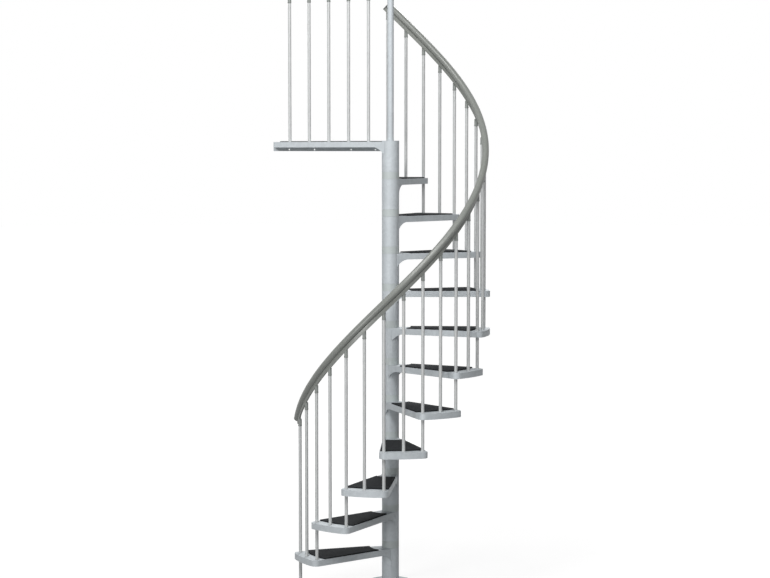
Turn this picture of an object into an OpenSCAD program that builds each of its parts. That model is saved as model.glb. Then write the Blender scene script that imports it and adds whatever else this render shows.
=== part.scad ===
// Outdoor spiral stair: galvanised treads stacked on a centre pole with spacer rings between them,
// balusters standing in the tread ends, a helical handrail, and a wedge landing that bolts to a wall.
// Frame: origin on the pole axis at floor level, +Z up, +Y square to the wall. It climbs anticlockwise.

/* [Stair] */
// Diameter over the tread ends
stair_d = 1250; // [1100:10:1500]
// Height of one step
rise = 233; // [205:1:250]
// Number of treads below the landing
tread_count = 11; // [6:1:12]
// Turn from one tread to the next, in degrees
tread_turn = 23.2; // [21:0.1:25]

/* [Column] */
// Outside diameter of the hubs and spacer rings
hub_d = 108; // [100:1:130]
// Height of one tread hub
hub_h = 188; // [150:1:195]
// Wall of the hub tube
hub_wall = 4; // [3:0.5:8]
// Thickness of the discs that close a hub
hub_disc = 6; // [4:0.5:12]
// Outside diameter of the centre pole
pole_d = 40; // [34:1:48]
// Wall of the centre pole
pole_wall = 4; // [3:0.5:6]

/* [Treads] */
// Width of a tread over its outer corners
tread_w = 305; // [290:1:330]
// Distance of each side plate's outer face from the hub axis
side_offset = 47; // [40:1:50]
// Radius of the two outer corners
corner_r = 36; // [10:1:42]
// Height of the rim round a tread
tread_face = 38; // [34:1:50]
// Thickness of the rim and side plates
rim_t = 4; // [3:0.5:6]
// Thickness of the folded sheet on top, below and inside
sheet_t = 3; // [2:0.5:5]
// Width of the steel band that carries the balusters
band_w = 78; // [65:1:95]
// Distance of the board's inner end from the hub axis
board_start = 130; // [100:1:180]
// How far a gusset reaches below the rim at the hub
gusset_drop = 48; // [30:1:60]
// Radius of a gusset's curved edge
gusset_r = 92; // [80:1:120]

/* [Boards] */
// Thickness of a tread board
board_t = 25; // [20:1:28]
// How far a tread board stands above the rim
board_proud = 7; // [3:0.5:9]
// Thickness of a landing plank
plank_t = 22; // [16:1:24]
// How far a landing plank stands above the rim
plank_proud = 5; // [2:0.5:8]
// Number of planks in the landing
plank_count = 4; // [3:1:6]
// Gap between two planks
plank_gap = 4; // [2:0.5:8]

/* [Balusters] */
// Diameter of a baluster
baluster_d = 20; // [16:1:24]
// Wall of a baluster tube
baluster_wall = 2; // [1.5:0.5:3]
// Distance of the baluster axes from the tread's outer edge
baluster_inset = 38; // [30:1:45]
// Outside diameter of a baluster cap
cap_d = 24; // [21:0.5:28]
// Height of a stair cap at the baluster's axis
cap_h = 38; // [36:1:60]
// Height of a landing cap
landing_cap_h = 38; // [28:1:45]
// How far a baluster reaches into its cap
cap_socket = 24; // [15:1:26]
// Height of the foot under the first baluster
foot_h = 34; // [30:1:60]

/* [Handrail] */
// Height of the rail's underside above a tread, at the tread's front baluster
rail_under = 836; // [780:1:950]
// Diameter of the round grip
grip_d = 43; // [38:1:50]
// Thickness of the fin under the grip
rail_fin_w = 10; // [8:1:20]
// Height of the fin, up to the lowest point of the round grip
rail_fin_h = 21; // [15:1:30]
// How far the rail's middle lies outside the balusters
rail_offset = 5; // [0:1:8]
// How far the rail runs past its first and last balusters
rail_overhang = 26; // [20:1:60]
// Thickness of a rail end cap
end_cap_t = 9; // [5:1:14]

/* [Landing] */
// Distance from the pole axis to the wall
landing_reach = 670; // [600:5:800]
// Length of the wall plate
landing_w = 900; // [800:10:950]
// Angle between the last stair baluster and the landing's balustrade, in degrees
landing_angle = 65.3; // [60:0.1:70]
// Height of the landing's rim
landing_face = 35; // [30:1:45]
// Height of the wall plate
wall_plate_h = 58; // [50:1:80]
// Thickness of the wall plate
wall_plate_t = 5; // [4:0.5:8]
// Depth of the wall bolts below the landing's rim
wall_bolt_drop = 48; // [42:1:50]
// Distance of the inner wall bolts from the plate's middle
wall_bolt_inner = 142; // [100:1:200]
// Distance of the outer wall bolts from the plate's middle
wall_bolt_outer = 334; // [250:1:380]
// Diameter of a wall bolt hole
wall_bolt_d = 11; // [9:0.5:14]
// How far the landing's hub stands above its rim
landing_hub_up = 6; // [5:0.5:12]
// Distance of the planks' inner end from the hub axis
plank_start = 125; // [100:1:170]
// Distance from a baluster's axis to the planks beside it
plank_edge = 15; // [13:0.5:25]
// Distance of the first landing baluster from the pole axis
landing_first = 150; // [120:1:200]
// Spacing of the landing balusters
landing_pitch = 137; // [110:1:145]
// Number of landing balusters
landing_baluster_count = 5; // [3:1:5]
// Height of the landing rail's underside above the landing
landing_rail_under = 917; // [860:1:1000]
// How far the landing rail runs past its last baluster
landing_rail_past = 90; // [40:1:120]

/* [Base] */
// Diameter of the base plate
base_d = 280; // [240:5:400]
// Thickness of the base plate
base_t = 15; // [10:1:20]
// Diameter of the circle through the anchor holes
anchor_pcd = 220; // [180:1:230]
// Diameter of an anchor hole
anchor_d = 14; // [10:0.5:18]
// Number of anchor holes
anchor_count = 4; // [3:1:8]

/* [Fits] */
// Radial clearance of a tube in its hole
fit_gap = 0.3; // [0.1:0.05:0.5]
// Gap where one piece stands on another
seat_gap = 0.2; // [0.1:0.05:0.4]
// Gap round a board in its tray
board_gap = 1; // [0.5:0.1:2]

/* [Hidden] */
$fn = 72;
steel = "#b8c0c7";
board_grey = "#3b3e42";
plastic = "#9b9e9d";
rail_grey = "#8b8d88";
overlap = 1;
far = 2 * stair_d;
hub_r = hub_d / 2;
tread_r = stair_d / 2;
spacer_h = rise - hub_h;
landing_z = (tread_count + 1) * rise;
pole_hole_r = pole_d / 2 + fit_gap;
baluster_r = tread_r - baluster_inset;
baluster_hole_r = baluster_d / 2 + fit_gap;
half_turn = tread_turn / 2;
last_baluster = 2 * tread_count;
last_angle = 90 - landing_angle / 2;
balustrade_angle = 90 + landing_angle / 2;
// Direction of a tread's side plate, measured from the tread's middle line
tread_flare = asin(tread_w / 2 / tread_r) - asin(side_offset / tread_r);
// Direction of a landing side plate, measured from the middle line towards the wall
landing_corner_r = norm([landing_w / 2, landing_reach]);
landing_flare = atan2(landing_w / 2, landing_reach) - asin(side_offset / landing_corner_r);
board_seat = board_t - board_proud;
plank_seat = plank_t - plank_proud;
board_end = tread_r - band_w;
// Where a side plate leaves the hub, and where its gusset runs out into the rim
side_start = sqrt(hub_r * hub_r - side_offset * side_offset);
gusset_blend = 1;
// How far a gusset's faces lie inside the rim's faces
gusset_step = 0.5;
gusset_end = side_start + sqrt(gusset_r * gusset_r - pow(gusset_r - gusset_drop - gusset_blend, 2));
rail_r = baluster_r + rail_offset;
// The rail climbs half a step over half a turn of a tread
rail_slope = atan2(rise / 2, rail_r * half_turn * PI / 180);
rail_past_angle = rail_overhang / rail_r * 180 / PI;
rail_ring_angle = 3;
// Where the fin meets the grip, as an angle below the grip's middle
grip_open = acos(rail_fin_w / grip_d);
corner_steps = 10;
edge_steps = 20;
grip_steps = 16;

function two_digits(k) = k < 10 ? str("0", k) : str(k);
function tread_name(k) = str("tread_", two_digits(k));
function board_name(k) = str("tread_board_", two_digits(k));
function tread_angle(k) = last_angle - (tread_count - k) * tread_turn - half_turn;
function baluster_angle(i) = last_angle - (last_baluster - i) * half_turn;
function rail_z(angle) = rise + rail_under + (angle - baluster_angle(0)) / half_turn * rise / 2;
function cap_z(i) = rail_z(baluster_angle(i)) - cap_h;
function arc(centre, radius, from, to, steps) = [
    for (j = [0:steps])
        let (a = from + (to - from) * j / steps)
        centre + radius * [cos(a), sin(a)]
];
function mirrored(points) = [for (j = [len(points) - 1:-1:0]) [points[j].x, -points[j].y]];

// Plan of a tread from the hub axis to its rounded outer corners, drawn in by an inset
function tread_outline(inset) =
    let (
        radius = tread_r - inset,
        offset_in = side_offset - inset,
        fillet = max(corner_r - inset, rim_t),
        middle = radius - fillet,
        swing = tread_flare + asin((offset_in - fillet) / middle),
        corner = arc(middle * [cos(swing), sin(swing)], fillet, swing, tread_flare + 90, corner_steps),
        foot = offset_in * [-sin(tread_flare), cos(tread_flare)]
    )
    concat(
        arc([0, 0], radius, -swing, swing, edge_steps),
        corner,
        [foot, [foot.x, -foot.y]],
        mirrored(corner)
    );

// Plan of the landing with its sides and its wall edge drawn in
function landing_outline(side_in, wall_in) =
    let (
        side = side_offset - side_in,
        foot = side * [cos(landing_flare), -sin(landing_flare)],
        wall = landing_reach - wall_in,
        corner = [foot.x + (wall - foot.y) * tan(landing_flare), wall]
    )
    [foot, corner, [-corner.x, corner.y], [-foot.x, foot.y]];

// Plan of the planks between the two baluster lines, drawn in by an inset
function plank_outline(inset) =
    let (
        half = landing_angle / 2,
        back = (plank_edge + inset) / cos(half),
        near = plank_start + inset,
        wall = landing_reach - wall_plate_t - inset
    )
    [
        [near * tan(half) - back, near],
        [wall * tan(half) - back, wall],
        [back - wall * tan(half), wall],
        [back - near * tan(half), near]
    ];

// Section of the handrail: an upright fin and a round grip on it, standing on the origin
rail_section = concat(
    [[-rail_fin_w / 2, 0], [rail_fin_w / 2, 0]],
    arc([0, rail_fin_h + grip_d / 2], grip_d / 2, -grip_open, 180 + grip_open, grip_steps)
);
// One ring of the helical rail, square to its run
function rail_ring(angle) = [
    for (p = rail_section)
        let (radius = rail_r + p.x, back = p.y * sin(rail_slope))
        [
            radius * cos(angle) + back * sin(angle),
            radius * sin(angle) - back * cos(angle),
            rail_z(angle) + p.y * cos(rail_slope)
        ]
];

// Closed skin over rings of points that follow one another
module skin(rings) {
    n = len(rings[0]);
    last = (len(rings) - 1) * n;
    sides = [
        for (j = [0:len(rings) - 2], i = [0:n - 1])
            let (a = j * n + i, b = j * n + (i + 1) % n)
            each [[a, b, a + n], [b, b + n, a + n]]
    ];
    start = [for (i = [n - 1:-1:0]) i];
    end = [for (i = [0:n - 1]) last + i];
    polyhedron([for (ring = rings) each ring], concat([start], sides, [end]), convexity = 8);
}

// Closed tube end to end, standing on the origin
module tube(outer_d, wall, length) {
    difference() {
        cylinder(d = outer_d, h = length);
        translate([0, 0, -overlap]) cylinder(d = outer_d - 2 * wall, h = length + 2 * overlap);
    }
}

// The hollow of a hub: the room between its discs and the hole for the pole
module hub_hollow(top, height) {
    translate([0, 0, top - height + hub_disc])
        cylinder(r = hub_r - hub_wall, h = height - 2 * hub_disc);
    translate([0, 0, top - height - overlap])
        cylinder(r = pole_hole_r, h = height + 2 * overlap);
}

// Curved gusset welded under the middle of a rim that runs along +X at side_offset
module gusset(rim_h) {
    translate([0, side_offset - gusset_step, -rim_h])
        rotate([90, 0, 0]) linear_extrude(rim_t - 2 * gusset_step)
        difference() {
            translate([side_start - 2 * overlap, -gusset_drop])
                square([gusset_end - side_start + 2 * overlap, gusset_drop + overlap]);
            translate([gusset_end, gusset_blend - gusset_r]) circle(gusset_r);
        }
}

// Tray of a tread: rim all round, pan under the board, top sheet by the hub and hollow outer band
module tread_tray() {
    difference() {
        translate([0, 0, -tread_face]) linear_extrude(tread_face) polygon(tread_outline(0));
        // Pocket for the board
        translate([0, 0, -board_seat]) linear_extrude(board_seat + overlap)
            intersection() {
                polygon(tread_outline(rim_t));
                difference() {
                    circle(board_end);
                    circle(board_start);
                }
            }
        // Open underside below the board's pan, and higher up beside the hub
        translate([0, 0, -tread_face - overlap])
            linear_extrude(tread_face - board_seat - sheet_t + overlap)
            intersection() {
                polygon(tread_outline(rim_t));
                circle(board_end);
            }
        translate([0, 0, -tread_face]) linear_extrude(tread_face - sheet_t)
            intersection() {
                polygon(tread_outline(rim_t));
                circle(board_start - sheet_t);
            }
        // Hollow of the band that carries the balusters
        translate([0, 0, sheet_t - tread_face]) linear_extrude(tread_face - 2 * sheet_t)
            difference() {
                polygon(tread_outline(rim_t));
                circle(board_end + sheet_t);
            }
    }
}

// Tread with its middle line along +X and its rim's top at the origin's height
module tread_weldment() {
    difference() {
        union() {
            translate([0, 0, -hub_h]) cylinder(r = hub_r, h = hub_h);
            tread_tray();
            rotate(tread_flare) gusset(tread_face);
            mirror([0, 1, 0]) rotate(tread_flare) gusset(tread_face);
        }
        hub_hollow(0, hub_h);
        // Baluster holes: the front one goes right through to the tread below
        for (side = [-1, 0, 1])
            rotate(side * half_turn)
                translate([baluster_r, 0, side < 0 ? -tread_face - overlap : -tread_face / 2])
                    cylinder(r = baluster_hole_r, h = tread_face + 2 * overlap);
    }
}

module base_plate() {
    color(steel) difference() {
        union() {
            cylinder(d = base_d, h = base_t);
            cylinder(r = hub_r, h = spacer_h - seat_gap);
        }
        translate([0, 0, base_t]) cylinder(r = pole_hole_r, h = spacer_h);
        for (j = [0:anchor_count - 1])
            rotate((j + 0.5) * 360 / anchor_count)
                translate([anchor_pcd / 2, 0, -overlap])
                    cylinder(d = anchor_d, h = base_t + 2 * overlap);
    }
}

module centre_pole() {
    bottom = base_t + seat_gap;
    top = landing_z + landing_rail_under - landing_cap_h + cap_socket;
    color(steel) translate([0, 0, bottom]) tube(pole_d, pole_wall, top - bottom);
}

module column_spacers() {
    color(plastic) for (k = [1:tread_count])
        translate([0, 0, k * rise + seat_gap])
            tube(hub_d, hub_r - pole_hole_r, spacer_h - 2 * seat_gap);
}

module tread(k) {
    color(steel) translate([0, 0, k * rise]) rotate(tread_angle(k)) tread_weldment();
}

module tread_board(k) {
    color(board_grey) translate([0, 0, k * rise + seat_gap - board_seat]) rotate(tread_angle(k))
        linear_extrude(board_t - seat_gap)
        intersection() {
            polygon(tread_outline(rim_t + board_gap));
            difference() {
                circle(board_end - board_gap);
                circle(board_start + board_gap);
            }
        }
}

// Side of the landing along +X: a rim from the hub into the wall plate, with its gusset
module landing_side() {
    length = (landing_reach - wall_plate_t / 2) / cos(landing_flare) + side_offset * tan(landing_flare);
    translate([side_start - 2 * overlap, side_offset - rim_t, -landing_face])
        cube([length - side_start + 2 * overlap, rim_t, landing_face]);
    gusset(landing_face);
}

module landing_frame() {
    deck_t = plank_seat + sheet_t;
    color(steel) translate([0, 0, landing_z]) difference() {
        union() {
            translate([0, 0, -hub_h]) cylinder(r = hub_r, h = hub_h + landing_hub_up);
            // Deck that holds the planks, let into the sides and the wall plate
            translate([0, 0, -deck_t]) linear_extrude(deck_t)
                polygon(landing_outline(rim_t / 2, wall_plate_t / 2));
            translate([-landing_w / 2, landing_reach - wall_plate_t, -wall_plate_h])
                cube([landing_w, wall_plate_t, wall_plate_h]);
            rotate(90 + landing_flare) landing_side();
            mirror([1, 0, 0]) rotate(90 + landing_flare) landing_side();
        }
        hub_hollow(landing_hub_up, hub_h + landing_hub_up);
        translate([0, 0, -plank_seat]) linear_extrude(plank_seat + overlap)
            polygon(plank_outline(0));
        rotate(last_angle) translate([baluster_r, 0, -deck_t - overlap])
            cylinder(r = baluster_hole_r, h = deck_t + 2 * overlap);
        rotate(balustrade_angle) for (j = [0:landing_baluster_count - 1])
            translate([landing_first + j * landing_pitch, 0, -deck_t - overlap])
                cylinder(r = baluster_hole_r, h = deck_t + 2 * overlap);
        for (x = [wall_bolt_inner, wall_bolt_outer], side = [-1, 1])
            translate([side * x, landing_reach - wall_plate_t - overlap, -wall_bolt_drop])
                rotate([-90, 0, 0]) cylinder(d = wall_bolt_d, h = wall_plate_t + 2 * overlap);
    }
}

module landing_planks() {
    near = plank_start + board_gap;
    wall = landing_reach - wall_plate_t - board_gap;
    pitch = (wall - near + plank_gap) / plank_count;
    color(board_grey) translate([0, 0, landing_z + seat_gap - plank_seat])
        for (j = [0:plank_count - 1])
            linear_extrude(plank_t - seat_gap)
            intersection() {
                polygon(plank_outline(board_gap));
                translate([-far / 2, near + j * pitch]) square([far, pitch - plank_gap]);
            }
}

// Stair baluster i from its seat in a tread, or from its foot, up into its cap
module stair_baluster(i) {
    carrier = floor((i + 1) / 2);
    seat = carrier > 0 ? carrier * rise - tread_face + sheet_t : foot_h - cap_socket;
    bottom = seat + seat_gap;
    rotate(baluster_angle(i)) translate([baluster_r, 0, bottom])
        tube(baluster_d, baluster_wall, cap_z(i) + cap_socket - bottom);
}

module corner_balusters() {
    color(steel) for (i = [0:2:last_baluster]) stair_baluster(i);
}

module middle_balusters() {
    color(steel) for (i = [1:2:last_baluster]) stair_baluster(i);
}

module first_baluster_foot() {
    color(plastic) rotate(baluster_angle(0)) translate([baluster_r, 0, 0]) difference() {
        cylinder(d = cap_d, h = foot_h);
        translate([0, 0, foot_h - cap_socket]) cylinder(r = baluster_hole_r, h = cap_socket + overlap);
    }
}

// Caps under the handrail, each cut to the rail's slope
module baluster_caps() {
    color(plastic) for (i = [0:last_baluster])
        rotate(baluster_angle(i)) translate([baluster_r, 0, cap_z(i)]) difference() {
            cylinder(d = cap_d, h = cap_h + cap_d);
            translate([0, 0, -overlap])
                cylinder(r = baluster_hole_r, h = cap_socket + seat_gap + overlap);
            translate([0, 0, cap_h - fit_gap]) rotate([rail_slope, 0, 0])
                translate([-2 * cap_d, -2 * cap_d, 0]) cube(4 * cap_d);
        }
}

module handrail() {
    from = baluster_angle(0) - rail_past_angle;
    to = baluster_angle(last_baluster) + rail_past_angle;
    steps = ceil((to - from) / rail_ring_angle);
    color(rail_grey) skin([for (j = [0:steps]) rail_ring(from + (to - from) * j / steps)]);
}

// Slab of the rail's section across the helical rail, starting a given way up the run from its end
module handrail_end_cap(angle, along) {
    rotate(angle) translate([rail_r, 0, rail_z(angle)]) rotate([rail_slope, 0, 0])
        translate([0, along, 0]) rotate([90, 0, 180])
            linear_extrude(end_cap_t - seat_gap) polygon(rail_section);
}

module handrail_end_caps() {
    color(plastic) {
        handrail_end_cap(baluster_angle(last_baluster) + rail_past_angle, seat_gap);
        handrail_end_cap(baluster_angle(0) - rail_past_angle, -end_cap_t);
    }
}

module landing_balusters() {
    bottom = landing_z - landing_face + sheet_t;
    top = landing_z + landing_rail_under - landing_cap_h + cap_socket;
    color(steel) rotate(balustrade_angle) for (j = [0:landing_baluster_count - 1])
        translate([landing_first + j * landing_pitch, 0, bottom])
            tube(baluster_d, baluster_wall, top - bottom);
}

// Straight cap under the landing rail for a tube of the given diameter
module landing_cap(tube_d) {
    translate([0, 0, landing_z + landing_rail_under - landing_cap_h]) difference() {
        cylinder(d = tube_d + cap_d - baluster_d, h = landing_cap_h - seat_gap);
        translate([0, 0, -overlap])
            cylinder(r = tube_d / 2 + fit_gap, h = cap_socket + seat_gap + overlap);
    }
}

module landing_baluster_caps() {
    color(plastic) rotate(balustrade_angle) for (j = [0:landing_baluster_count - 1])
        translate([landing_first + j * landing_pitch, 0, 0]) landing_cap(baluster_d);
}

module post_cap() {
    color(plastic) landing_cap(pole_d);
}

// A length of the rail's section along the landing's balustrade
module landing_rail_run(from, to) {
    rotate(balustrade_angle) translate([from, 0, landing_z + landing_rail_under])
        rotate([90, 0, 90]) linear_extrude(to - from) polygon(rail_section);
}

landing_rail_from = -pole_d / 2 - rail_overhang / 2;
landing_rail_to = landing_first + (landing_baluster_count - 1) * landing_pitch + landing_rail_past;

module landing_handrail() {
    color(rail_grey) landing_rail_run(landing_rail_from, landing_rail_to);
}

module landing_handrail_end_caps() {
    color(plastic) {
        landing_rail_run(landing_rail_from - end_cap_t, landing_rail_from - seat_gap);
        landing_rail_run(landing_rail_to + seat_gap, landing_rail_to + end_cap_t);
    }
}

base_plate();
centre_pole();
column_spacers();
post_cap();
for (k = [1:tread_count]) tread(k);
for (k = [1:tread_count]) tread_board(k);
landing_frame();
landing_planks();
corner_balusters();
middle_balusters();
first_baluster_foot();
baluster_caps();
handrail();
handrail_end_caps();
landing_balusters();
landing_baluster_caps();
landing_handrail();
landing_handrail_end_caps();
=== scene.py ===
"""Looks of an outdoor spiral stair: galvanised treads on a column, balusters, a handrail and a landing."""

import math

import bmesh
import bpy
from bpy.props import FloatProperty, FloatVectorProperty, PointerProperty
from mathutils import Matrix, Vector


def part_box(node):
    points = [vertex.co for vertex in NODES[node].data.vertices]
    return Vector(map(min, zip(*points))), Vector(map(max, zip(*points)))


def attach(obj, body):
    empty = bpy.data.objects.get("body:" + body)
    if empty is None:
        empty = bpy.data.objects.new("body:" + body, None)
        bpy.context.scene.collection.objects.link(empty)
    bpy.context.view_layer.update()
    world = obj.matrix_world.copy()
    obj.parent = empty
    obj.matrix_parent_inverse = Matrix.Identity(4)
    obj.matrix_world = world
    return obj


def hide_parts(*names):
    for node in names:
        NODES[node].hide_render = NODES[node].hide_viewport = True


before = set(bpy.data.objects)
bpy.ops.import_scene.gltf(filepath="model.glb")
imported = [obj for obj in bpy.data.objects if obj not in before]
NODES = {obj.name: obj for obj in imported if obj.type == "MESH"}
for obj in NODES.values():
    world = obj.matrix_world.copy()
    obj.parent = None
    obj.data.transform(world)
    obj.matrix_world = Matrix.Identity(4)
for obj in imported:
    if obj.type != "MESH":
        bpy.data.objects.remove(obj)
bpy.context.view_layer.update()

bl_info = {
    "name": "Outdoor Spiral Stair",
    "version": (1, 0, 0),
    "blender": (4, 5, 0),
    "location": "View3D > Sidebar > Stair",
    "description": "Finishes, rails, caps and welds of a spiral stair, and a studio to show it in",
    "category": "Object",
}

BOARDS = sorted(name for name in NODES if name.startswith("tread_board_"))
TREADS = sorted(name for name in NODES if name.startswith("tread_") and name not in BOARDS)
BODY = "root"
STEEL, PLASTIC, RAIL = "galvanised_steel", "grey_plastic", "grey_pvc"

# Places read from the frame: the height of a step, the landing and the first baluster's foot
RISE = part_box(TREADS[1])[1].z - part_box(TREADS[0])[1].z
LANDING_Z = RISE * (len(TREADS) + 1)
FOOT = (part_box("first_baluster_foot")[0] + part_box("first_baluster_foot")[1]) / 2
BALUSTER_R = math.hypot(FOOT.x, FOOT.y)
FIRST_ANGLE = math.atan2(FOOT.y, FOOT.x)
LAST_BALUSTER = 2 * len(TREADS)

UP = Vector((0, 0, 1))

# Sockets of a Mix node for colours
MIX_FACTOR, MIX_A, MIX_B, MIX_COLOUR = 0, 6, 7, 2

# Fineness of the meshes, and the angle from which an edge is eased or stays sharp
EDGE_LIMIT = math.radians(40)
RAIL_STEP = math.radians(1.5)
CORNER_STEPS, GRIP_STEPS = 4, 24
CAP_SIDES, BEAD_SIDES = 32, 8

# Steps in one ripple of a weld, and its height as a share of the bead's radius
RIPPLE_STEPS = 4
SEAM_RIPPLE, FOOT_RIPPLE = 0.12, 0.1

# Share of its radius that a weld has at its tips, and how much it gains over its length
TIP_SHARE, TIP_GAIN = 0.35, 4

# Size of the stage, and the point that the lamps are aimed at
FLOOR_R, FLOOR_SIDES = 60, 96
LIT_POINT = UP * 2


def linear(hex_colour):
    """Linear RGBA of an sRGB hex colour."""
    channels = [int(hex_colour[i:i + 2], 16) / 255 for i in (1, 3, 5)]
    curve = [c / 12.92 if c <= 0.04045 else ((c + 0.055) / 1.055) ** 2.4 for c in channels]
    return (*curve, 1.0)


def length(name, description, millimetres):
    """A size in metres that the panel shows in the scene's own unit."""
    return FloatProperty(name=name, description=description, default=millimetres / 1000,
                         subtype="DISTANCE", unit="LENGTH", precision=4)


def turn(name, description, degrees):
    """An angle that the panel shows in degrees."""
    return FloatProperty(name=name, description=description, default=math.radians(degrees), subtype="ANGLE")


def tint(name, description, hex_colour):
    """A colour that is written as an sRGB hex value."""
    return FloatVectorProperty(name=name, description=description, default=linear(hex_colour),
                               size=4, min=0, max=1, subtype="COLOR")


def watts(name, description, power):
    """The power of a lamp."""
    return FloatProperty(name=name, description=description, default=power, unit="POWER")


class StairSizes(bpy.types.PropertyGroup):
    """Sizes of the pieces that are modelled here."""

    tread_turn: turn("Tread turn", "Turn from one tread to the next", 23.2)
    rail_under: length("Rail height", "Rail's underside above a tread, at its front baluster", 836)
    rail_offset: length("Rail offset", "Rail's middle outside the balusters", 5)
    grip_d: length("Grip", "Diameter of the round grip", 43)
    fin_w: length("Fin thickness", "Thickness of the fin under the grip", 10)
    fin_h: length("Fin height", "Height of the fin up to the grip's lowest point", 21)
    fin_ease: length("Fin corner", "Radius of the fin's lower corners", 1.5)
    rail_overhang: length("Rail overhang", "Rail past its first and last balusters", 26)
    end_cap_t: length("End cap", "Thickness of a rail end cap", 9)
    baluster_d: length("Baluster", "Diameter of a baluster", 20)
    pole_d: length("Pole", "Diameter of the centre pole", 40)
    cap_wall: length("Cap wall", "Wall of a cap round its tube", 2)
    cap_h: length("Stair cap", "Height of a stair cap at the baluster's axis", 38)
    landing_cap_h: length("Landing cap", "Height of a cap under the landing rail", 38)
    cap_socket: length("Cap socket", "Depth of the socket in a cap", 24)
    collar_h: length("Cap collar", "Height of the collar round a cap's mouth", 9)
    collar_t: length("Collar thickness", "How far the collar stands out from the cap", 0.8)
    cap_fit: length("Cap fit", "Room round the tube in a cap, and under the rail", 0.3)
    cap_ease: length("Cap edge", "Size of the eased edges of a cap", 0.6)
    landing_angle: turn("Balustrade", "Direction of the landing's balustrade from +X", 122.65)
    landing_first: length("First landing baluster", "Its distance from the pole's axis", 150)
    landing_pitch: length("Landing spacing", "Spacing of the landing's balusters", 137)
    landing_rail_under: length("Landing rail height", "Rail's underside above the landing", 917)
    landing_rail_from: length("Landing rail start", "Start of the landing rail along the balustrade", -33)
    landing_rail_to: length("Landing rail end", "End of the landing rail along the balustrade", 788)
    hub_d: length("Hub", "Outside diameter of the hubs", 108)
    side_offset: length("Side plates", "Outer faces of the side plates from the hub's axis", 47)
    tread_flare: turn("Tread flare", "Direction of a side plate from its tread's middle line", 9.81)
    landing_flare: turn("Landing flare", "Direction of a landing side from the middle line", 30.54)
    tread_seam: length("Tread seam", "Height of the seam between a side plate and its hub", 86)
    landing_seam: length("Landing seam", "Height of the seam between a landing side and its hub", 83)
    weld_r: length("Weld", "Radius of a weld bead", 2.5)
    foot_weld_r: length("Foot weld", "Radius of the weld round the column's foot", 3.5)
    weld_ripple: length("Weld ripple", "Pitch of the ripples on a weld bead", 3)
    base_t: length("Base plate", "Thickness of the base plate", 15)


class StairColours(bpy.types.PropertyGroup):
    """Colours of the finishes."""

    zinc_light: tint("Zinc, light", "Bright crystals of the zinc coat", "#C5CBCF")
    zinc_dark: tint("Zinc, dark", "Dull patches of the zinc coat", "#B2B8BC")
    tube_light: tint("Tube, light", "Bright crystals on the balusters", "#C7C9C9")
    tube_dark: tint("Tube, dark", "Dull patches on the balusters", "#B6B8B8")
    board: tint("Board", "Ridges of the decking boards", "#2A2C2F")
    # Painted shade: a darker colour laid into the board grooves for the shade that falls in them
    board_groove_shade: tint("Board grooves", "Grooves of the decking boards", "#1F2123")
    spacer: tint("Spacer", "Moulded rings between the hubs", "#BCC3C3")
    spacer_dark: tint("Spacer, dark", "Duller patches of the rings", "#B2B9B9")
    cap: tint("Cap", "Moulded caps on the balusters", "#868A87")
    cap_dark: tint("Cap, dark", "Duller patches of the caps", "#777B78")
    plug: tint("Plug", "Moulded end plugs of the rails", "#525453")
    plug_dark: tint("Plug, dark", "Duller patches of the plugs", "#484A49")
    rail: tint("Rail", "Drawn surface of the handrail", "#858884")
    rail_dark: tint("Rail, dark", "Darker streaks along the handrail", "#737671")


class StudioSettings(bpy.types.PropertyGroup):
    """Camera and light."""

    view_turn: turn("View", "Direction of the camera's view from +Y, clockwise", 34.35)
    eye_distance: length("Eye distance", "Camera's distance from the pole's axis", 11734)
    eye_aside: length("Eye aside", "Camera's place to the right of the axis", -2)
    eye_height: length("Eye height", "Camera's height above the floor", 2720)
    eye_down: turn("Eye down", "How far the camera looks down", 4.127)
    eye_left: turn("Eye left", "How far the camera looks to the left of the axis", 0.159)
    focal: FloatProperty(name="Focal length", description="Camera's lens, in millimetres", default=87.55,
                         unit="CAMERA")
    key: watts("Key light", "Lamp high on the left, near the stair", 176)
    front: watts("Front light", "Large lamp above the camera", 268)
    right: watts("Right light", "Small lamp on the right", 34)
    low: watts("Low light", "Lamp low on the left", 120)
    back: watts("Back light", "Lamp high behind the stair", 160)
    room: FloatProperty(name="Room light", description="Strength of the light all round", default=0.04)


def sizes():
    """Sizes as the panel has them."""
    return bpy.context.scene.stair_sizes


def colours():
    """Colours as the panel has them."""
    return bpy.context.scene.stair_colours


def per_metre(millimetres):
    """Scale of a texture whose features are this far apart."""
    return 1000 / millimetres


def add_node(tree, kind, inputs=None, **settings):
    """Adds a shader node, sets its own settings, and links or sets its inputs."""
    node = tree.nodes.new(kind)
    for name, value in settings.items():
        setattr(node, name, value)
    for socket, value in (inputs or {}).items():
        if isinstance(value, bpy.types.NodeSocket):
            tree.links.new(value, node.inputs[socket])
        else:
            node.inputs[socket].default_value = value
    return node


def new_material(name):
    """An empty material, its tree, and the object coordinates that its patterns start from."""
    material = bpy.data.materials.new(name)
    material.use_nodes = True
    tree = material.node_tree
    tree.nodes.clear()
    place = add_node(tree, "ShaderNodeTexCoord").outputs["Object"]
    return material, tree, place


def surface(tree, inputs):
    """Ends a material with one Principled shader."""
    shader = add_node(tree, "ShaderNodeBsdfPrincipled", inputs)
    add_node(tree, "ShaderNodeOutputMaterial", {"Surface": shader.outputs["BSDF"]})


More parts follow.
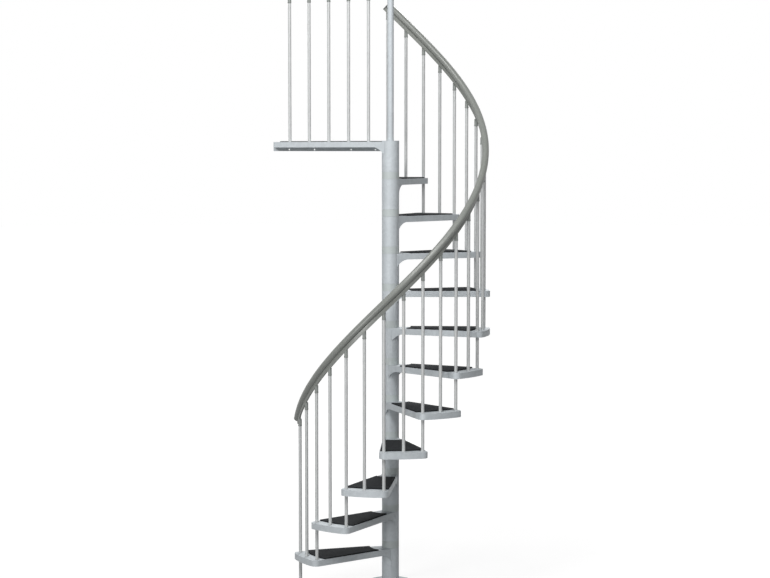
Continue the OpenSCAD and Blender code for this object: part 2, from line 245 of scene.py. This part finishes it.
def zinc_coat(name, dull, bright):
    """Hot-dip galvanised steel, weathered dull."""
    if name in bpy.data.materials:
        return bpy.data.materials[name]
    # The chalky skin of old zinc hides the metal, so it hardly mirrors. Crystals about 14 mm across,
    # cloudy patches and runs downwards still show in its greys
    material, tree, place = new_material(name)
    crystals = add_node(tree, "ShaderNodeTexVoronoi", {"Vector": place, "Scale": per_metre(14)})
    crystal = add_node(tree, "ShaderNodeSeparateColor", {"Color": crystals.outputs["Color"]})
    clouds = add_node(tree, "ShaderNodeTexNoise", {"Vector": place, "Scale": per_metre(85), "Detail": 4.0})
    stretch = add_node(tree, "ShaderNodeMapping", {"Vector": place, "Scale": (1, 1, 0.08)})
    runs = add_node(tree, "ShaderNodeTexNoise",
                    {"Vector": stretch.outputs["Vector"], "Scale": per_metre(22), "Detail": 3.0})
    patches = add_node(tree, "ShaderNodeMath",
                       {0: clouds.outputs["Fac"], 1: runs.outputs["Fac"]}, operation="MULTIPLY")
    tone = add_node(tree, "ShaderNodeMath",
                    {0: crystal.outputs["Red"], 1: 0.35, 2: patches.outputs["Value"]},
                    operation="MULTIPLY_ADD")
    shade = add_node(tree, "ShaderNodeMapRange",
                     {"Value": tone.outputs["Value"], "From Min": 0.0, "From Max": 0.9})
    zinc = add_node(tree, "ShaderNodeMix",
                    {MIX_FACTOR: shade.outputs["Result"], MIX_A: dull, MIX_B: bright}, data_type="RGBA")
    rough = add_node(tree, "ShaderNodeMapRange",
                     {"Value": crystal.outputs["Green"], "To Min": 0.5, "To Max": 0.62})
    grain = add_node(tree, "ShaderNodeTexNoise", {"Vector": place, "Scale": per_metre(2.5), "Detail": 3.0})
    bump = add_node(tree, "ShaderNodeBump",
                    {"Height": grain.outputs["Fac"], "Strength": 0.25, "Distance": 0.0004})
    surface(tree, {"Base Color": zinc.outputs[MIX_COLOUR], "Metallic": 0.12,
                   "Roughness": rough.outputs["Result"], "Normal": bump.outputs["Normal"]})
    return material


def galvanised_steel():
    """Blue-grey zinc of the treads, the column and the landing."""
    return zinc_coat("Galvanised steel, dull zinc", colours().zinc_dark, colours().zinc_light)


def galvanised_tube():
    """Neutral zinc of the balusters."""
    return zinc_coat("Galvanised tube, neutral zinc", colours().tube_dark, colours().tube_light)


def decking_board():
    """Dark decking board, extruded with fine grooves along its length."""
    name = "Decking board, grooved"
    if name in bpy.data.materials:
        return bpy.data.materials[name]
    # Recycled plastic with wood fibre: open-pored, so hardly any shine; grooves 6 mm apart, fine fibre marks
    material, tree, place = new_material(name)
    lie = add_node(tree, "ShaderNodeAttribute", attribute_name="board_turn", attribute_type="OBJECT")
    along = add_node(tree, "ShaderNodeVectorRotate",
                     {"Vector": place, "Angle": lie.outputs["Fac"]}, rotation_type="Z_AXIS", invert=True)
    # Length after which a wave texture of scale 1 repeats
    groove_period = 2 * math.pi / 20
    grooves = add_node(tree, "ShaderNodeTexWave",
                       {"Vector": along.outputs["Vector"], "Scale": groove_period * per_metre(6)},
                       wave_type="BANDS", bands_direction="Y")
    stretch = add_node(tree, "ShaderNodeMapping", {"Vector": along.outputs["Vector"], "Scale": (0.06, 1, 1)})
    fibres = add_node(tree, "ShaderNodeTexNoise",
                      {"Vector": stretch.outputs["Vector"], "Scale": per_metre(4), "Detail": 5.0})
    # Painted shade: the grooves are only a bump, so their colour is darkened for the shade in them; the fibre
    # marks are the board's own tone
    groove_shade_and_fibres = add_node(tree, "ShaderNodeMath",
                    {0: grooves.outputs["Fac"], 1: fibres.outputs["Fac"]}, operation="MULTIPLY")
    shade = add_node(tree, "ShaderNodeMapRange",
                     {"Value": groove_shade_and_fibres.outputs["Value"], "From Min": 0.05, "From Max": 0.5})
    charcoal = add_node(tree, "ShaderNodeMix",
                        {MIX_FACTOR: shade.outputs["Result"],
                         MIX_A: colours().board_groove_shade, MIX_B: colours().board}, data_type="RGBA")
    height = add_node(tree, "ShaderNodeMath",
                      {0: fibres.outputs["Fac"], 1: 0.3, 2: grooves.outputs["Fac"]}, operation="MULTIPLY_ADD")
    bump = add_node(tree, "ShaderNodeBump",
                    {"Height": height.outputs["Value"], "Strength": 0.5, "Distance": 0.0008})
    surface(tree, {"Base Color": charcoal.outputs[MIX_COLOUR], "Roughness": 0.85, "Specular IOR Level": 0.1,
                   "Normal": bump.outputs["Normal"]})
    return material


def moulded_plastic(name, dull, bright):
    """Grey polyamide, injection moulded with a fine matt grain."""
    if name in bpy.data.materials:
        return bpy.data.materials[name]
    # Filled nylon: an even grey with faint flow clouds, and a spark-eroded grain that is drawn 1.2 mm
    # wide so that it shows
    material, tree, place = new_material(name)
    flow = add_node(tree, "ShaderNodeTexNoise", {"Vector": place, "Scale": per_metre(30), "Distortion": 1.5})
    grey = add_node(tree, "ShaderNodeMix",
                    {MIX_FACTOR: flow.outputs["Fac"], MIX_A: dull, MIX_B: bright}, data_type="RGBA")
    grain = add_node(tree, "ShaderNodeTexNoise", {"Vector": place, "Scale": per_metre(1.2), "Detail": 2.0})
    bump = add_node(tree, "ShaderNodeBump",
                    {"Height": grain.outputs["Fac"], "Strength": 0.2, "Distance": 0.0002})
    rough = add_node(tree, "ShaderNodeMapRange",
                     {"Value": grain.outputs["Fac"], "To Min": 0.42, "To Max": 0.6})
    surface(tree, {"Base Color": grey.outputs[MIX_COLOUR], "IOR": 1.53,
                   "Roughness": rough.outputs["Result"], "Normal": bump.outputs["Normal"]})
    return material


def spacer_plastic():
    """Pale plastic of the rings between the hubs."""
    return moulded_plastic("Moulded polyamide, pale grey", colours().spacer_dark, colours().spacer)


def cap_plastic():
    """Mid grey plastic of the caps on the balusters."""
    return moulded_plastic("Moulded polyamide, mid grey", colours().cap_dark, colours().cap)


def plug_plastic():
    """Dark plastic of the plugs in the rails' ends."""
    return moulded_plastic("Moulded polyamide, dark grey", colours().plug_dark, colours().plug)


def drawn_pvc(name, run):
    """Grey PVC handrail, drawn out hot, with streaks along a run that a function gives in the shader."""
    if name in bpy.data.materials:
        return bpy.data.materials[name]
    # Extruded PVC: satin olive grey with a soft speckle, and darker die lines along the run, drawn 5 mm
    # apart so that they show
    material, tree, place = new_material(name)
    streaks = add_node(tree, "ShaderNodeTexNoise", {"Vector": run(tree, place), "Scale": 1.0, "Detail": 2.0})
    speckle = add_node(tree, "ShaderNodeTexNoise", {"Vector": place, "Scale": per_metre(7), "Detail": 2.0})
    tone = add_node(tree, "ShaderNodeMath",
                    {0: streaks.outputs["Fac"], 1: speckle.outputs["Fac"]}, operation="ADD")
    shade = add_node(tree, "ShaderNodeMapRange",
                     {"Value": tone.outputs["Value"], "From Min": 0.7, "From Max": 1.3})
    grey = add_node(tree, "ShaderNodeMix",
                    {MIX_FACTOR: shade.outputs["Result"],
                     MIX_A: colours().rail_dark, MIX_B: colours().rail}, data_type="RGBA")
    bump = add_node(tree, "ShaderNodeBump",
                    {"Height": streaks.outputs["Fac"], "Strength": 0.06, "Distance": 0.0003})
    surface(tree, {"Base Color": grey.outputs[MIX_COLOUR], "IOR": 1.53, "Roughness": 0.34,
                   "Normal": bump.outputs["Normal"]})
    return material


def helix_run(tree, place):
    """Coordinates that stay the same along the helical rail, so that streaks follow it."""
    # Turned so that the step of the arctangent falls beside the landing, where the rail has a gap
    turned = add_node(tree, "ShaderNodeVectorRotate",
                      {"Vector": place, "Angle": math.pi / 2}, rotation_type="Z_AXIS")
    xyz = add_node(tree, "ShaderNodeSeparateXYZ", {"Vector": turned.outputs["Vector"]})
    angle = add_node(tree, "ShaderNodeMath",
                     {0: xyz.outputs["Y"], 1: xyz.outputs["X"]}, operation="ARCTAN2")
    climb = -RISE / sizes().tread_turn
    level = add_node(tree, "ShaderNodeMath",
                     {0: angle.outputs["Value"], 1: climb, 2: xyz.outputs["Z"]}, operation="MULTIPLY_ADD")
    flat = add_node(tree, "ShaderNodeCombineXYZ", {"X": xyz.outputs["X"], "Y": xyz.outputs["Y"]})
    radius = add_node(tree, "ShaderNodeVectorMath", {0: flat.outputs["Vector"]}, operation="LENGTH")
    joined = add_node(tree, "ShaderNodeCombineXYZ",
                      {"X": radius.outputs["Value"], "Y": level.outputs["Value"]})
    scaled = add_node(tree, "ShaderNodeVectorMath",
                      {0: joined.outputs["Vector"], "Scale": per_metre(5)}, operation="SCALE")
    return scaled.outputs["Vector"]


def straight_run(tree, place):
    """Coordinates that hardly change along the landing's rail."""
    along = add_node(tree, "ShaderNodeVectorRotate",
                     {"Vector": place, "Angle": -sizes().landing_angle}, rotation_type="Z_AXIS")
    across = per_metre(5)
    scaled = add_node(tree, "ShaderNodeMapping",
                      {"Vector": along.outputs["Vector"], "Scale": (across * 0.01, across, across)})
    return scaled.outputs["Vector"]


def smooth_by_angle():
    """Geometry nodes that shade a mesh smooth, except across edges sharper than the limit."""
    name = "Smooth by angle"
    if name in bpy.data.node_groups:
        return bpy.data.node_groups[name]
    tree = bpy.data.node_groups.new(name, "GeometryNodeTree")
    for way in ("INPUT", "OUTPUT"):
        tree.interface.new_socket("Geometry", in_out=way, socket_type="NodeSocketGeometry")
    given = add_node(tree, "NodeGroupInput")
    faces = add_node(tree, "GeometryNodeSetShadeSmooth",
                     {"Geometry": given.outputs["Geometry"]}, domain="FACE")
    edge = add_node(tree, "GeometryNodeInputMeshEdgeAngle")
    sharp = add_node(tree, "FunctionNodeCompare",
                     {"A": edge.outputs["Unsigned Angle"], "B": EDGE_LIMIT}, operation="GREATER_THAN")
    edges = add_node(tree, "GeometryNodeSetShadeSmooth",
                     {"Geometry": faces.outputs["Geometry"], "Selection": sharp.outputs["Result"],
                      "Shade Smooth": False}, domain="EDGE")
    add_node(tree, "NodeGroupOutput", {"Geometry": edges.outputs["Geometry"]})
    return tree


def dress(names, material, bevel=0.0):
    """Gives CAD nodes a finish, and eases their edges where a bevel in millimetres is asked for."""
    for name in names:
        node = NODES[name]
        node.material_slots[0].material = material
        if bevel:
            weld = node.modifiers.new("Join faces", "WELD")
            weld.merge_threshold = 0.00001
            flat = node.modifiers.new("Clear flat edges", "DECIMATE")
            flat.decimate_type = "DISSOLVE"
            flat.angle_limit = math.radians(1)
            ease = node.modifiers.new("Ease edges", "BEVEL")
            ease.width = bevel / 1000
            ease.segments = 2
            ease.limit_method = "ANGLE"
            ease.angle_limit = EDGE_LIMIT
            smooth = node.modifiers.new("Smooth", "NODES")
            smooth.node_group = smooth_by_angle()
            normals = node.modifiers.new("Even normals", "WEIGHTED_NORMAL")
            normals.keep_sharp = True


class Skin:
    """Closed skins gathered into one mesh."""

    def __init__(self):
        self.points = []
        self.faces = []

    def loft(self, rings):
        """Skins over rings of equally many points and closes both ends."""
        start, count = len(self.points), len(rings[0])
        for ring in rings:
            self.points.extend(ring)
        for j in range(len(rings) - 1):
            for i in range(count):
                a, b = start + j * count + i, start + j * count + (i + 1) % count
                self.faces.append((a, b, b + count, a + count))
        last = start + (len(rings) - 1) * count
        self.faces.append(tuple(range(start + count - 1, start - 1, -1)))
        self.faces.append(tuple(range(last, last + count)))

    def ring_loft(self, rings):
        """Skins over rings of points that come back to the first ring."""
        start, count = len(self.points), len(rings[0])
        for ring in rings:
            self.points.extend(ring)
        for j in range(len(rings)):
            here, there = start + j * count, start + (j + 1) % len(rings) * count
            for i in range(count):
                k = (i + 1) % count
                self.faces.append((here + i, here + k, there + k, there + i))

    def piece(self, name, material, slot, *replaced, sharp=35):
        """Makes the piece, with edges above an angle in degrees sharp, and hides the CAD nodes that it takes
        the place of.
        """
        mesh = bpy.data.meshes.new(name)
        mesh.from_pydata(self.points, [], self.faces)
        shell = bmesh.new()
        shell.from_mesh(mesh)
        bmesh.ops.recalc_face_normals(shell, faces=shell.faces)
        shell.to_mesh(mesh)
        shell.free()
        mesh.materials.append(material)
        mesh.shade_smooth()
        mesh.set_sharp_from_angle(angle=math.radians(sharp))
        piece = bpy.data.objects.new(name, mesh)
        bpy.context.scene.collection.objects.link(piece)
        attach(piece, BODY)
        if replaced:
            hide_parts(*replaced)
        return piece


def arc(centre, radii, start, end, steps):
    """Points on an elliptic arc, its angles in radians."""
    angles = [start + (end - start) * j / steps for j in range(steps + 1)]
    return [(centre[0] + radii[0] * math.cos(a), centre[1] + radii[1] * math.sin(a)) for a in angles]


def circle(radius, sides):
    """Points on a circle round the origin."""
    return arc((0, 0), (radius, radius), 0, 2 * math.pi * (sides - 1) / sides, sides - 1)


def rail_section():
    """Points across and up round the handrail: an upright fin with eased corners and a round grip."""
    s = sizes()
    half, ease, quarter, grip_r = s.fin_w / 2, s.fin_ease, math.pi / 2, s.grip_d / 2
    grip_open = math.acos(half / grip_r)
    right = arc((half - ease, ease), (ease, ease), -quarter, 0, CORNER_STEPS)
    right += arc((0, s.fin_h + grip_r), (grip_r, grip_r), -grip_open, quarter, GRIP_STEPS)
    return right + [(-x, y) for x, y in reversed(right[:-1])]


def shrunk(section, share):
    """The section drawn in towards its own middle."""
    high = max(y for _, y in section)
    return [(x * share, high / 2 + (y - high / 2) * share) for x, y in section]


def placed(section, origin, across, up):
    """The section's points set out from an origin."""
    return [origin + across * x + up * y for x, y in section]


def baluster_angle(i):
    """Direction of a stair baluster, counted from the first one, round the column."""
    return FIRST_ANGLE + i * sizes().tread_turn / 2


def rail_z(angle):
    """Height of the rail's underside at an angle round the column."""
    return RISE + sizes().rail_under + (angle - FIRST_ANGLE) / sizes().tread_turn * RISE


def rail_radius():
    """Radius of the helix in the middle of the rail."""
    return BALUSTER_R + sizes().rail_offset


def rail_slope():
    """Slope of the rail along its helix."""
    return math.atan2(RISE, rail_radius() * sizes().tread_turn)


def helix_ring(section, angle, along=0.0):
    """A ring of the helical rail, square to its run, moved on along the run."""
    slope = rail_slope()
    out = Vector((math.cos(angle), math.sin(angle), 0))
    level = Vector((-math.sin(angle), math.cos(angle), 0))
    run = level * math.cos(slope) + UP * math.sin(slope)
    up = UP * math.cos(slope) - level * math.sin(slope)
    return placed(section, out * rail_radius() + UP * rail_z(angle) + run * along, out, up)


def balustrade():
    """Direction of the landing's balustrade and the direction across it."""
    along = Vector((math.cos(sizes().landing_angle), math.sin(sizes().landing_angle), 0))
    return along, UP.cross(along)


def landing_ring(section, distance):
    """A ring of the landing rail at a distance from the pole's axis."""
    along, across = balustrade()
    height = LANDING_Z + sizes().landing_rail_under
    return placed(section, along * distance + UP * height, across, UP)


# Depth and share of the section at each layer of a rounded end cap, as parts of its thickness
END_CAP_LAYERS = ((0.02, 1.0), (0.08, 1.02), (0.55, 1.02), (0.78, 0.98), (0.93, 0.9), (1.0, 0.78))


def cap_rings(centre, turned, tube_d, height, slope):
    """Rings of a cap on a tube: socket, mouth, collar, body, and a top cut to the rail's slope."""
    s = sizes()
    inner, outer, ease = tube_d / 2 + s.cap_fit, tube_d / 2 + s.cap_wall, s.cap_ease
    body = outer - s.collar_t
    # Radius and height of each ring up to the collar, then the body up to the rail
    profile = [(inner, s.cap_socket), (inner, 0), (outer - ease, 0), (outer, ease)]
    profile += [(outer, s.collar_h - ease), (outer - ease, s.collar_h), (body, s.collar_h + ease)]
    rings = []
    for radius, level in profile + [(body, None)]:
        ring = []
        for x, y in circle(radius, CAP_SIDES):
            z = height - s.cap_fit + y * math.tan(slope) if level is None else level
            ring.append(turned @ Vector((x, y, z)) + centre)
        rings.append(ring)
    return rings


def rippled(radius, step, share):
    """Radius of a weld bead at a step along it."""
    return radius * (1 + share * math.sin(2 * math.pi * step / RIPPLE_STEPS))


def upright_bead(skin, foot, height):
    """An upright weld bead with ripples and tapered tips."""
    s = sizes()
    steps = round(height / s.weld_ripple * RIPPLE_STEPS)
    rings = []
    for j in range(steps + 1):
        taper = min(1, TIP_SHARE + TIP_GAIN * min(j, steps - j) / steps)
        radius = rippled(s.weld_r * taper, j, SEAM_RIPPLE)
        middle = foot + UP * height * j / steps
        rings.append([middle + Vector((x, y, 0)) for x, y in circle(radius, BEAD_SIDES)])
    skin.loft(rings)


def hub_seams(skin, angle, flare, top, height):
    """Weld beads where two side plates meet a hub."""
    s = sizes()
    reach = math.sqrt((s.hub_d / 2) ** 2 - s.side_offset ** 2)
    for side in (-1, 1):
        turned = Matrix.Rotation(angle + side * flare, 3, "Z")
        foot = turned @ Vector((reach, side * s.side_offset, top - height))
        upright_bead(skin, foot, height - s.weld_r)


class StairOperator(bpy.types.Operator):
    """Common to the stair's operators."""

    bl_options = {"REGISTER", "UNDO"}


class STAIR_OT_column(StairOperator):
    """Base plate, pole and spacer rings, with the weld round the foot of the column"""

    bl_idname = "stair.column"
    bl_label = "Column"

    def execute(self, context):
        s = sizes()
        dress(["base_plate"], galvanised_steel(), bevel=1.2)
        dress(["centre_pole"], galvanised_steel())
        dress(["column_spacers"], spacer_plastic(), bevel=1.2)
        foot = Skin()
        rings = []
        count = round(math.pi * s.hub_d / s.weld_ripple * RIPPLE_STEPS)
        for j in range(count):
            a = 2 * math.pi * j / count
            out = Vector((math.cos(a), math.sin(a), 0))
            section = circle(rippled(s.foot_weld_r, j, FOOT_RIPPLE), BEAD_SIDES)
            rings.append(placed(section, out * s.hub_d / 2 + UP * s.base_t, out, UP))
        foot.ring_loft(rings)
        foot.piece("base_weld", galvanised_steel(), STEEL, sharp=60)
        return {"FINISHED"}


class STAIR_OT_treads(StairOperator):
    """Galvanised treads with eased edges, and the welds that join their side plates to the hubs"""

    bl_idname = "stair.treads"
    bl_label = "Treads"

    def execute(self, context):
        s = sizes()
        dress(TREADS, galvanised_steel(), bevel=0.8)
        welds = Skin()
        for k in range(len(TREADS)):
            angle = baluster_angle(2 * k + 1)
            hub_seams(welds, angle, s.tread_flare, RISE * (k + 1), s.tread_seam)
        welds.piece("tread_welds", galvanised_steel(), STEEL, sharp=60)
        return {"FINISHED"}


class STAIR_OT_boards(StairOperator):
    """Grooved decking boards in the treads and the landing"""

    bl_idname = "stair.boards"
    bl_label = "Boards"

    def execute(self, context):
        for k, name in enumerate(BOARDS):
            NODES[name]["board_turn"] = baluster_angle(2 * k + 1)
        NODES["landing_planks"]["board_turn"] = 0.0
        dress(BOARDS + ["landing_planks"], decking_board(), bevel=1.5)
        return {"FINISHED"}


class STAIR_OT_balusters(StairOperator):
    """Galvanised balusters, the foot of the first one, and moulded caps under both rails"""

    bl_idname = "stair.balusters"
    bl_label = "Balusters"

    def execute(self, context):
        s = sizes()
        dress(["corner_balusters", "middle_balusters", "landing_balusters"], galvanised_tube())
        dress(["first_baluster_foot"], cap_plastic(), bevel=1.0)
        caps = Skin()
        for i in range(LAST_BALUSTER + 1):
            angle = baluster_angle(i)
            turned = Matrix.Rotation(angle, 3, "Z")
            centre = turned @ Vector((BALUSTER_R, 0, rail_z(angle) - s.cap_h))
            caps.loft(cap_rings(centre, turned, s.baluster_d, s.cap_h, rail_slope()))
        caps.piece("stair_caps", cap_plastic(), PLASTIC, "baluster_caps")
        caps = Skin()
        along, _ = balustrade()
        count = round((s.landing_rail_to - s.landing_first) / s.landing_pitch)
        base = UP * (LANDING_Z + s.landing_rail_under - s.landing_cap_h)
        for j in range(count):
            centre = along * (s.landing_first + j * s.landing_pitch) + base
            caps.loft(cap_rings(centre, Matrix.Identity(3), s.baluster_d, s.landing_cap_h, 0))
        caps.loft(cap_rings(base, Matrix.Identity(3), s.pole_d, s.landing_cap_h, 0))
        caps.piece("landing_caps", cap_plastic(), PLASTIC, "landing_baluster_caps", "post_cap")
        return {"FINISHED"}


class STAIR_OT_handrail(StairOperator):
    """Helical PVC handrail with its rounded end caps"""

    bl_idname = "stair.handrail"
    bl_label = "Handrail"

    def execute(self, context):
        s = sizes()
        section = rail_section()
        past = s.rail_overhang / rail_radius()
        low, top = baluster_angle(0) - past, baluster_angle(LAST_BALUSTER) + past
        steps = round((top - low) / RAIL_STEP)
        rail = Skin()
        rail.loft([helix_ring(section, low + (top - low) * j / steps) for j in range(steps + 1)])
        rail.piece("helical_handrail", drawn_pvc("Drawn PVC, helical rail", helix_run), RAIL, "handrail")
        caps = Skin()
        for angle, way in ((low, -1), (top, 1)):
            caps.loft([helix_ring(shrunk(section, share), angle, way * depth * s.end_cap_t)
                       for depth, share in END_CAP_LAYERS])
        caps.piece("handrail_end_plugs", plug_plastic(), PLASTIC, "handrail_end_caps")
        return {"FINISHED"}


class STAIR_OT_landing(StairOperator):
    """Landing frame with its welds, and the straight handrail with its rounded end caps"""

    bl_idname = "stair.landing"
    bl_label = "Landing"

    def execute(self, context):
        s = sizes()
        dress(["landing_frame"], galvanised_steel(), bevel=0.8)
        welds = Skin()
        hub_seams(welds, math.pi / 2, s.landing_flare, LANDING_Z, s.landing_seam)
        welds.piece("landing_welds", galvanised_steel(), STEEL, sharp=60)
        section = rail_section()
        rail = Skin()
        rail.loft([landing_ring(section, d) for d in (s.landing_rail_from, s.landing_rail_to)])
        rail.piece("straight_handrail", drawn_pvc("Drawn PVC, straight rail", straight_run), RAIL,
                   "landing_handrail")
        caps = Skin()
        for end, way in ((s.landing_rail_from, -1), (s.landing_rail_to, 1)):
            caps.loft([landing_ring(shrunk(section, share), end + way * depth * s.end_cap_t)
                       for depth, share in END_CAP_LAYERS])
        caps.piece("landing_end_plugs", plug_plastic(), PLASTIC, "landing_handrail_end_caps")
        return {"FINISHED"}


def seen_directly(tree):
    """1 for rays that show the white background, 0 for rays that carry light."""
    path = add_node(tree, "ShaderNodeLightPath")
    first = add_node(tree, "ShaderNodeMath",
                     {0: path.outputs["Is Camera Ray"], 1: path.outputs["Is Glossy Ray"]},
                     operation="MAXIMUM")
    both = add_node(tree, "ShaderNodeMath",
                    {0: first.outputs["Value"], 1: path.outputs["Is Transmission Ray"]},
                    operation="MAXIMUM")
    return both.outputs["Value"]


def studio_floor():
    """Matt white floor paint that reads as white to the eye and still takes the stair's shadow."""
    material, tree, place = new_material("Floor paint, matt white")
    paint = add_node(tree, "ShaderNodeBsdfDiffuse", {"Color": linear("#8C8C8C")})
    # Beyond the lamps' reach the floor is as white as the background
    reach = add_node(tree, "ShaderNodeVectorMath", {0: place}, operation="LENGTH")
    fade = add_node(tree, "ShaderNodeMapRange",
                    {"Value": reach.outputs["Value"], "From Min": 1.0, "From Max": 6.0,
                     "To Min": 0.82, "To Max": 1.0})
    lift = add_node(tree, "ShaderNodeEmission",
                    {"Color": linear("#FFFFFF"), "Strength": fade.outputs["Result"]})
    lifted = add_node(tree, "ShaderNodeAddShader", {0: paint.outputs["BSDF"], 1: lift.outputs["Emission"]})
    mix = add_node(tree, "ShaderNodeMixShader",
                   {0: seen_directly(tree), 1: paint.outputs["BSDF"], 2: lifted.outputs["Shader"]})
    add_node(tree, "ShaderNodeOutputMaterial", {"Surface": mix.outputs["Shader"]})
    return material


class STAIR_OT_studio(StairOperator):
    """Pale floor, soft light, white background and the camera"""

    bl_idname = "stair.studio"
    bl_label = "Studio"

    def execute(self, context):
        scene, studio = context.scene, context.scene.stair_studio
        scene.view_settings.view_transform = "Standard"
        view = Matrix.Rotation(-studio.view_turn, 4, "Z")
        self.floor(scene)
        self.background(scene, studio)
        # Places of the lamps as the camera sees them, right, away and up, and their diameters
        self.light(scene, "Key light", studio.key, view @ Vector((-2.0, -2.9, 7.0)), 1.8)
        self.light(scene, "Front light", studio.front, view @ Vector((-0.6, -7.0, 7.0)), 2.6)
        self.light(scene, "Right light", studio.right, view @ Vector((1.5, -3.2, 4.6)), 1.3)
        self.light(scene, "Low light", studio.low, view @ Vector((-3.4, -6.1, 1.2)), 2.1)
        self.light(scene, "Back light", studio.back, view @ Vector((0.8, 4.5, 6.0)), 2.5)
        camera = bpy.data.objects.new("Camera", bpy.data.cameras.new("Camera"))
        camera.data.lens = studio.focal
        camera.location = view @ Vector((studio.eye_aside, -studio.eye_distance, studio.eye_height))
        camera.rotation_euler = (math.pi / 2 - studio.eye_down, 0, studio.eye_left - studio.view_turn)
        scene.collection.objects.link(camera)
        scene.camera = camera
        return {"FINISHED"}

    def floor(self, scene):
        """Round floor that runs out of sight."""
        disc = bmesh.new()
        bmesh.ops.create_circle(disc, cap_ends=True, segments=FLOOR_SIDES, radius=FLOOR_R)
        mesh = bpy.data.meshes.new("Floor")
        disc.to_mesh(mesh)
        disc.free()
        mesh.materials.append(studio_floor())
        floor = bpy.data.objects.new("Floor", mesh)
        scene.collection.objects.link(floor)

    def background(self, scene, studio):
        """White background that lights the stair only a little."""
        world = bpy.data.worlds.new("Studio")
        world.use_nodes = True
        tree = world.node_tree
        tree.nodes.clear()
        room = add_node(tree, "ShaderNodeBackground", {"Color": linear("#FFFFFF"), "Strength": studio.room})
        white = add_node(tree, "ShaderNodeBackground", {"Color": linear("#FFFFFF"), "Strength": 1.0})
        mix = add_node(tree, "ShaderNodeMixShader",
                       {0: seen_directly(tree),
                        1: room.outputs["Background"], 2: white.outputs["Background"]})
        add_node(tree, "ShaderNodeOutputWorld", {"Surface": mix.outputs["Shader"]})
        scene.world = world

    def light(self, scene, name, power, place, diameter):
        """Round soft lamp, aimed at the stair's middle height."""
        lamp = bpy.data.lights.new(name, "AREA")
        lamp.shape = "DISK"
        lamp.size = diameter
        lamp.energy = power
        light = bpy.data.objects.new(name, lamp)
        light.location = place
        light.rotation_euler = (place - LIT_POINT).to_track_quat("Z", "Y").to_euler()
        light.visible_camera = False
        scene.collection.objects.link(light)


OPERATORS = (STAIR_OT_column, STAIR_OT_treads, STAIR_OT_boards, STAIR_OT_balusters, STAIR_OT_handrail,
             STAIR_OT_landing, STAIR_OT_studio)


class STAIR_PT_panel(bpy.types.Panel):
    """Lists the stair's pieces, sizes and colours"""

    bl_idname = "STAIR_PT_panel"
    bl_label = "Spiral Stair"
    bl_space_type = "VIEW_3D"
    bl_region_type = "UI"
    bl_category = "Stair"

    def draw(self, context):
        for operator in OPERATORS:
            self.layout.operator(operator.bl_idname)
        for group in (context.scene.stair_sizes, context.scene.stair_colours, context.scene.stair_studio):
            column = self.layout.column()
            for name in group.__annotations__:
                column.prop(group, name)


CLASSES = (StairSizes, StairColours, StudioSettings, *OPERATORS, STAIR_PT_panel)


def register():
    """Adds the classes and the settings to Blender."""
    for cls in CLASSES:
        bpy.utils.register_class(cls)
    bpy.types.Scene.stair_sizes = PointerProperty(type=StairSizes)
    bpy.types.Scene.stair_colours = PointerProperty(type=StairColours)
    bpy.types.Scene.stair_studio = PointerProperty(type=StudioSettings)


def unregister():
    """Takes them out again."""
    del bpy.types.Scene.stair_studio
    del bpy.types.Scene.stair_colours
    del bpy.types.Scene.stair_sizes
    for cls in reversed(CLASSES):
        bpy.utils.unregister_class(cls)


def main():
    """Makes every piece and the studio."""
    register()
    bpy.ops.stair.column()
    bpy.ops.stair.treads()
    bpy.ops.stair.boards()
    bpy.ops.stair.balusters()
    bpy.ops.stair.handrail()
    bpy.ops.stair.landing()
    bpy.ops.stair.studio()


if __name__ == "__main__":
    main()
